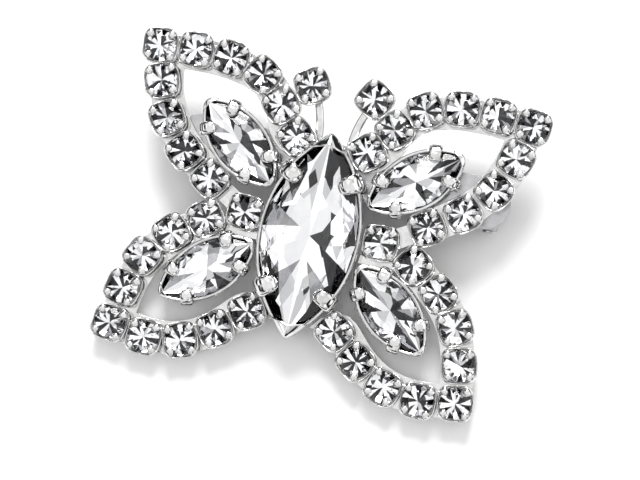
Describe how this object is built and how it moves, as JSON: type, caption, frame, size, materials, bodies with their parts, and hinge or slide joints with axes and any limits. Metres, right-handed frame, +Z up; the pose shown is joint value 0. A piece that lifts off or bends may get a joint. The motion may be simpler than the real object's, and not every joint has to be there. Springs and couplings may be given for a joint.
{
  "type": "hair clip",
  "caption": "Butterfly-shaped hair clip of claw-set clear crystals on open silver wing frames, with a hinged clasp on its back to grip hair.",
  "frame": {"origin": "centre of the footprint, on the surface that the clip lies on, face up", "axes": "+Z up out of the surface, +X to the butterfly's right wing as seen from the front, +Y roughly from its lower wings to its antennae"},
  "size_m": [0.036, 0.028, 0.0069],
  "materials": {
    "silver_plate": "polished rhodium-like plate",
    "crystal": "clear cut crystal with foiled back",
    "clasp_steel": "bright nickel-plated steel"
  },
  "bodies": {
    "arm": {"clasp_arm": "clasp_steel"},
    "ornament": {"body_setting": "silver_plate", "body_stone": "crystal", "upper_left_navette_setting": "silver_plate", "upper_left_navette_stone": "crystal", "upper_right_navette_setting": "silver_plate", "upper_right_navette_stone": "crystal", "lower_left_navette_setting": "silver_plate", "lower_left_navette_stone": "crystal", "lower_right_navette_setting": "silver_plate", "lower_right_navette_stone": "crystal", "upper_left_frame": "silver_plate", "upper_right_frame": "silver_plate", "lower_left_frame": "silver_plate", "lower_right_frame": "silver_plate", "upper_left_leading_cups": "silver_plate", "upper_left_leading_stones": "crystal", "upper_left_trailing_cups": "silver_plate", "upper_left_trailing_stones": "crystal", "upper_right_leading_cups": "silver_plate", "upper_right_leading_stones": "crystal", "upper_right_trailing_cups": "silver_plate", "upper_right_trailing_stones": "crystal", "lower_left_outer_cups": "silver_plate", "lower_left_outer_stones": "crystal", "lower_left_inner_cups": "silver_plate", "lower_left_inner_stones": "crystal", "lower_right_outer_cups": "silver_plate", "lower_right_outer_stones": "crystal", "lower_right_inner_cups": "silver_plate", "lower_right_inner_stones": "crystal", "left_antenna_wire": "silver_plate", "left_antenna_cup": "silver_plate", "left_antenna_stone": "crystal", "right_antenna_wire": "silver_plate", "right_antenna_cup": "silver_plate", "right_antenna_stone": "crystal", "base_plate": "clasp_steel", "hinge_pin": "clasp_steel", "tension_bar": "clasp_steel", "catch_bracket": "clasp_steel", "catch_rivet": "clasp_steel"},
    "front_tab": {"front_catch_tab": "clasp_steel"},
    "back_tab": {"back_catch_tab": "clasp_steel"}
  },
  "joints": [
    {"name": "clasp_hinge", "type": "hinge", "parent": "arm", "child": "ornament", "pos_m": [0.0144, 0.00555, 0.00155], "axis": [0, 0.9862, 0.1654], "range_deg": [0, 60]},
    {"name": "front_tab_squeeze", "type": "hinge", "parent": "ornament", "child": "front_tab", "pos_m": [-0.0118, 0.0045, 0.0022], "axis": [1, 0, 0], "range_deg": [0, 8], "stiffness_Nm_per_rad": 0.01},
    {"name": "back_tab_squeeze", "type": "hinge", "parent": "ornament", "child": "back_tab", "pos_m": [-0.0118, 0.00633, 0.00251], "axis": [-1, 0, 0], "range_deg": [0, 8], "stiffness_Nm_per_rad": 0.01}
  ]
}
